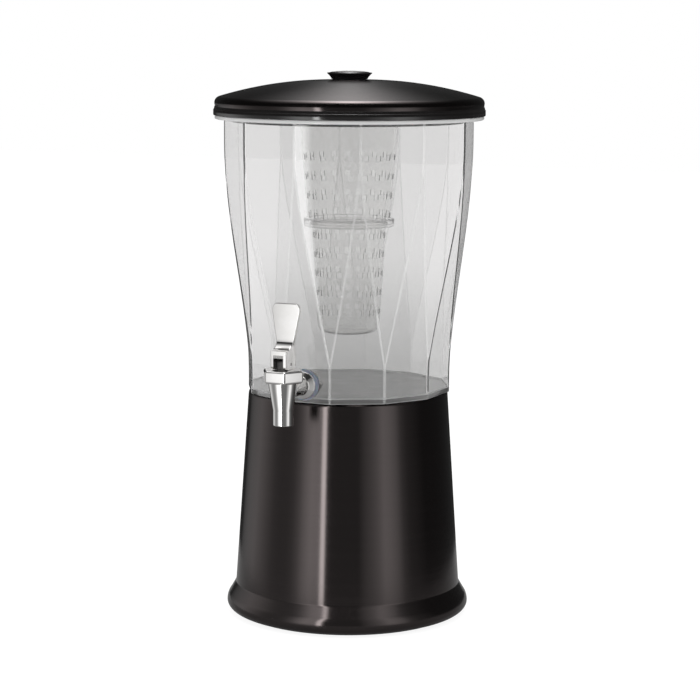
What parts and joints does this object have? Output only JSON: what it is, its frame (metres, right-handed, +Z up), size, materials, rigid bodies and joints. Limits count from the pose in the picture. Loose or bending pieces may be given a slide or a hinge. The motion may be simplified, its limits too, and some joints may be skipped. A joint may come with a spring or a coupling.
{
  "type": "beverage dispenser",
  "caption": "Buffet beverage dispenser: faceted clear container with infuser on a dark spun metal stand, domed lid with knob and a self-closing lever tap.",
  "frame": {"origin": "on the container's axis, at the surface that the stand rests on", "axes": "+Z up, -Y out of the tap towards the user, +X to the right of someone who faces the tap"},
  "size_m": [0.28, 0.3105, 0.5652],
  "materials": {
    "onyx_metal": "dark brushed metallic",
    "black_plastic": "glossy black",
    "rubber": "matte",
    "clear_plastic": "clear moulded",
    "silicone": "translucent",
    "chrome": "polished",
    "steel": "turned",
    "satin_cap": "spun satin"
  },
  "bodies": {
    "base": {"base_shell": "onyx_metal", "foot_ring": "rubber"},
    "vessel": {"container": "clear_plastic", "outer_washer": "silicone", "inner_washer": "silicone", "shank_nut": "steel", "faucet_body": "chrome", "bonnet_nut": "chrome", "valve_spring": "steel"},
    "stem": {"valve_stem": "steel", "seat_cup": "silicone", "lever_pin": "steel"},
    "lever": {"tap_lever": "chrome"},
    "lid": {"lid_moulding": "black_plastic", "lid_dome": "onyx_metal", "lid_gasket": "silicone", "knob": "black_plastic", "knob_cap": "satin_cap", "knob_screw": "steel", "knob_washer": "rubber"},
    "infuser": {"infuser_basket": "clear_plastic"},
    "cup": {"infuser_cup": "clear_plastic"}
  },
  "joints": [
    {"name": "vessel_lift", "type": "slide", "parent": "base", "child": "vessel", "axis": [0, 0, 1], "range_m": [0, 0.06]},
    {"name": "stem_lift", "type": "slide", "parent": "vessel", "child": "stem", "axis": [0, 0, 1], "range_m": [0, 0.0042], "deforming": ["valve_spring"]},
    {"name": "lever_tilt", "type": "hinge", "parent": "stem", "child": "lever", "pos_m": [0, -0.15149, 0.2814], "axis": [1, 0, 0], "range_deg": [0, 40], "stiffness_Nm_per_rad": 0.15, "springref_deg": -11.46},
    {"name": "lid_lift", "type": "slide", "parent": "vessel", "child": "lid", "axis": [0, 0, 1], "range_m": [0, 0.28]},
    {"name": "infuser_turn", "type": "hinge", "parent": "lid", "child": "infuser", "pos_m": [0, 0, 0.5], "axis": [0, 0, 1], "range_deg": [0, 60]},
    {"name": "cup_lift", "type": "slide", "parent": "infuser", "child": "cup", "axis": [0, 0, 1], "range_m": [0, 0.1]}
  ],
  "couplings": [
    {"joint": "stem_lift", "follows": "lever_tilt", "m_per_rad": 0.006}
  ]
}
